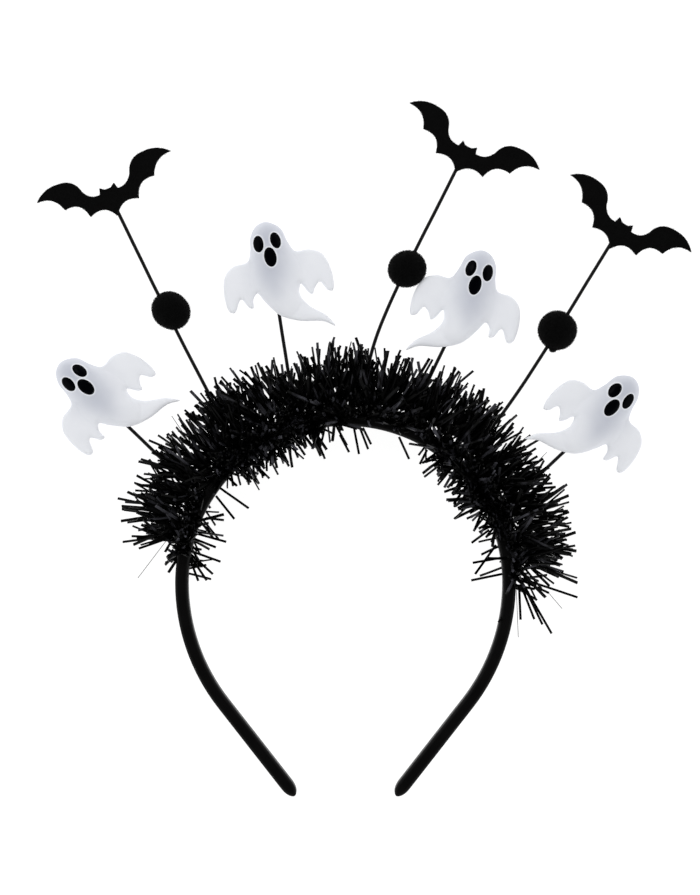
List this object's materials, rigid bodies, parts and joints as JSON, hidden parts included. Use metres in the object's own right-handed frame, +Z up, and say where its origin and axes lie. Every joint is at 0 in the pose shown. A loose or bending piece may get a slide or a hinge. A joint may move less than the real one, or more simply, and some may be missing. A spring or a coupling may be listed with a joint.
{
  "type": "halloween headband",
  "caption": "Black horseshoe headband with a tinsel garland over the crown, and bats, ghosts and pompoms on wire stems above it.",
  "frame": {"origin": "on the surface it lies on, below the middle of the headband's outer box", "axes": "+Z up from the surface, +Y from the arm tips to the crown, +X to the right seen from above"},
  "size_m": [0.2628, 0.2782, 0.0351],
  "materials": {
    "band": "smooth black with a faint sheen",
    "tinsel": "glossy black film strips",
    "stem": "black coated wire",
    "pompom": "fuzzy black fibre",
    "bat": "flat black felt",
    "ghost": "smooth white foam",
    "face": "glossy black"
  },
  "bodies": {
    "root": {"band": "band", "tinsel": "tinsel", "bat_left": "bat", "bat_left_stem": "stem", "pompom_left": "pompom", "bat_middle": "bat", "bat_middle_stem": "stem", "pompom_middle": "pompom", "bat_right": "bat", "bat_right_stem": "stem", "pompom_right": "pompom", "ghost_1": "ghost", "ghost_1_stem": "stem", "ghost_1_eye_left": "face", "ghost_1_eye_right": "face", "ghost_1_mouth": "face", "ghost_2": "ghost", "ghost_2_stem": "stem", "ghost_2_eye_left": "face", "ghost_2_eye_right": "face", "ghost_2_mouth": "face", "ghost_3": "ghost", "ghost_3_stem": "stem", "ghost_3_eye_left": "face", "ghost_3_eye_right": "face", "ghost_3_mouth": "face", "ghost_4": "ghost", "ghost_4_stem": "stem", "ghost_4_eye_left": "face", "ghost_4_eye_right": "face", "ghost_4_mouth": "face"}
  },
  "joints": []
}
